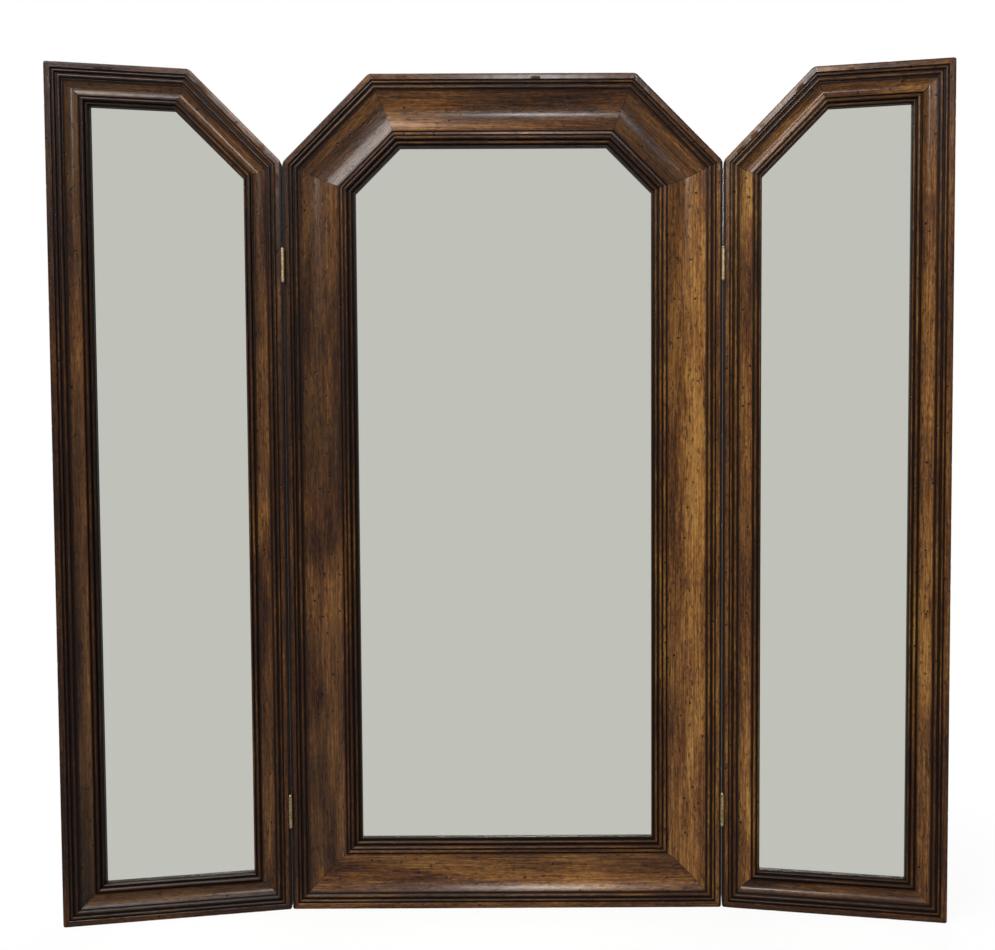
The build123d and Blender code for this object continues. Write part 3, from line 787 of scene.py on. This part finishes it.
# Hinges: four small brass butts, rolled and ground, with round-tipped loose pins and brass
# countersunk screws. The plating has gone brown in patches between bright ones.
brass, tree = new_material("tarnished_brass")
at = add_node(tree, "ShaderNodeTexCoord").outputs["Object"]
tarnish = add_node(
    tree, "ShaderNodeTexNoise", {"Vector": at, "Scale": 240.0, "Detail": 4.0, "Roughness": 0.65},
).outputs[0]
spots = add_node(
    tree, "ShaderNodeMapRange", {"Value": tarnish, "From Min": 0.44, "From Max": 0.66},
).outputs[0]
metal = add_node(
    tree, "ShaderNodeMix", {0: spots, 6: linear("b8a680"), 7: linear("5d4526")}, data_type="RGBA",
).outputs[2]
dull = add_node(
    tree, "ShaderNodeMapRange", {"Value": spots, "To Min": 0.28, "To Max": 0.6},
).outputs[0]
bump = add_node(tree, "ShaderNodeBump", {"Height": tarnish, "Strength": 0.2, "Distance": 0.1 * MM})
surface = add_node(tree, "ShaderNodeBsdfPrincipled", {
    "Base Color": metal, "Metallic": 1.0, "Roughness": dull, "Normal": bump.outputs[0],
})
add_node(tree, "ShaderNodeOutputMaterial", {"Surface": surface.outputs[0]})
for name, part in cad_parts.items():
    if name.endswith(("_leaf", "_pin", "hinge_screws")):
        part.data.materials.clear()
        part.data.materials.append(brass)


# Board screws: small slotted round heads, turned from steel and zinc plated, driven through
# the backing boards into the rebates. The plating is evenly blue-grey with a soft sheen.
zinc, tree = new_material("zinc_plated_steel")
at = add_node(tree, "ShaderNodeTexCoord").outputs["Object"]
crystals = add_node(
    tree, "ShaderNodeTexNoise", {"Vector": at, "Scale": 900.0, "Detail": 2.0},
).outputs[0]
plate = add_node(
    tree, "ShaderNodeMix", {0: crystals, 6: linear("9b9c9a"), 7: linear("c3c4c0")},
    data_type="RGBA",
).outputs[2]
soft = add_node(
    tree, "ShaderNodeMapRange", {"Value": crystals, "To Min": 0.3, "To Max": 0.5},
).outputs[0]
surface = add_node(
    tree, "ShaderNodeBsdfPrincipled", {"Base Color": plate, "Metallic": 1.0, "Roughness": soft},
)
add_node(tree, "ShaderNodeOutputMaterial", {"Surface": surface.outputs[0]})
for prefix in ("centre", "left_wing", "right_wing"):
    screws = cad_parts[prefix + "_backing_screws"]
    screws.data.materials.clear()
    screws.data.materials.append(zinc)


# Studio: a pale matt floor that fades to white away from the mirror, a soft key lamp high on
# the left, a far lamp in front for the sheen on the rails, and one behind for the backs of
# the panels. What the mirrors face is an even light grey room.
AMBIENT = 0.09
ROOM_GREY = 0.56
paper, tree = new_material("matt_floor_paint")
at = add_node(tree, "ShaderNodeTexCoord").outputs["Object"]
flattened = add_node(
    tree, "ShaderNodeVectorMath", {0: at, 1: (0.7, 1.0, 0.0)}, operation="MULTIPLY",
).outputs[0]
away = add_node(tree, "ShaderNodeVectorMath", {0: flattened}, operation="LENGTH").outputs["Value"]
fade = add_node(tree, "ShaderNodeMapRange", {
    "Value": away, "From Min": 0.25, "From Max": 0.7, "To Min": 0.86, "To Max": 1.0,
}).outputs[0]
paths = add_node(tree, "ShaderNodeLightPath").outputs
seen = add_node(
    tree, "ShaderNodeMath", {0: paths["Is Camera Ray"], 1: fade}, operation="MULTIPLY",
).outputs[0]
mirrored = add_node(
    tree, "ShaderNodeMath", {0: paths["Is Glossy Ray"], 1: paths["Is Transmission Ray"]},
    operation="MAXIMUM",
).outputs[0]
white_share = add_node(
    tree, "ShaderNodeMath", {0: seen, 1: mirrored}, operation="MAXIMUM",
).outputs[0]
glow = add_node(
    tree, "ShaderNodeMapRange", {"Value": mirrored, "To Min": 1.0, "To Max": ROOM_GREY},
).outputs[0]
matt = add_node(
    tree, "ShaderNodeBsdfPrincipled", {"Base Color": linear("e6e6e4"), "Roughness": 0.8},
)
white = add_node(tree, "ShaderNodeEmission", {"Color": (1, 1, 1, 1), "Strength": glow})
mixed = add_node(
    tree, "ShaderNodeMixShader", {0: white_share, 1: matt.outputs[0], 2: white.outputs[0]},
)
add_node(tree, "ShaderNodeOutputMaterial", {"Surface": mixed.outputs[0]})
floor_mesh = bpy.data.meshes.new("floor")
floor_mesh.from_pydata([(-4, -4, 0), (4, -4, 0), (4, 4, 0), (-4, 4, 0)], [], [(0, 1, 2, 3)])
floor_mesh.materials.append(paper)
floor = bpy.data.objects.new("floor", floor_mesh)
bpy.context.scene.collection.objects.link(floor)

world = bpy.data.worlds.new("studio")
world.use_nodes = True
tree = world.node_tree
tree.nodes.clear()
paths = add_node(tree, "ShaderNodeLightPath").outputs
mirrored = add_node(
    tree, "ShaderNodeMath", {0: paths["Is Glossy Ray"], 1: paths["Is Transmission Ray"]},
    operation="MAXIMUM",
).outputs[0]
reflected = add_node(
    tree, "ShaderNodeMapRange", {"Value": mirrored, "To Min": AMBIENT, "To Max": ROOM_GREY},
).outputs[0]
strength = add_node(
    tree, "ShaderNodeMath", {0: paths["Is Camera Ray"], 1: reflected}, operation="MAXIMUM",
).outputs[0]
sky = add_node(tree, "ShaderNodeBackground", {"Color": (1, 1, 1, 1), "Strength": strength})
add_node(tree, "ShaderNodeOutputWorld", {"Surface": sky.outputs[0]})
bpy.context.scene.world = world

OBJECT_MIDDLE = Vector((0, 0, 0.6))
for name, place, size, power in (
    ("key_lamp", (-1.45, -1.45, 3.05), 1.8, 126.0),
    ("front_lamp", (-0.1, -9.0, 5.0), 0.8, 300.0),
    ("back_lamp", (1.0, 2.6, 2.4), 1.6, 60.0),
):
    lamp = bpy.data.lights.new(name, "AREA")
    lamp.shape = "SQUARE"
    lamp.size = size
    lamp.energy = power
    holder = bpy.data.objects.new(name, lamp)
    bpy.context.scene.collection.objects.link(holder)
    aim = OBJECT_MIDDLE - Vector(place)
    aimed = aim.to_track_quat("-Z", "Y").to_matrix().to_4x4()
    holder.matrix_world = Matrix.Translation(place) @ aimed
    holder.visible_camera = False

bpy.context.scene.view_settings.view_transform = "Standard"
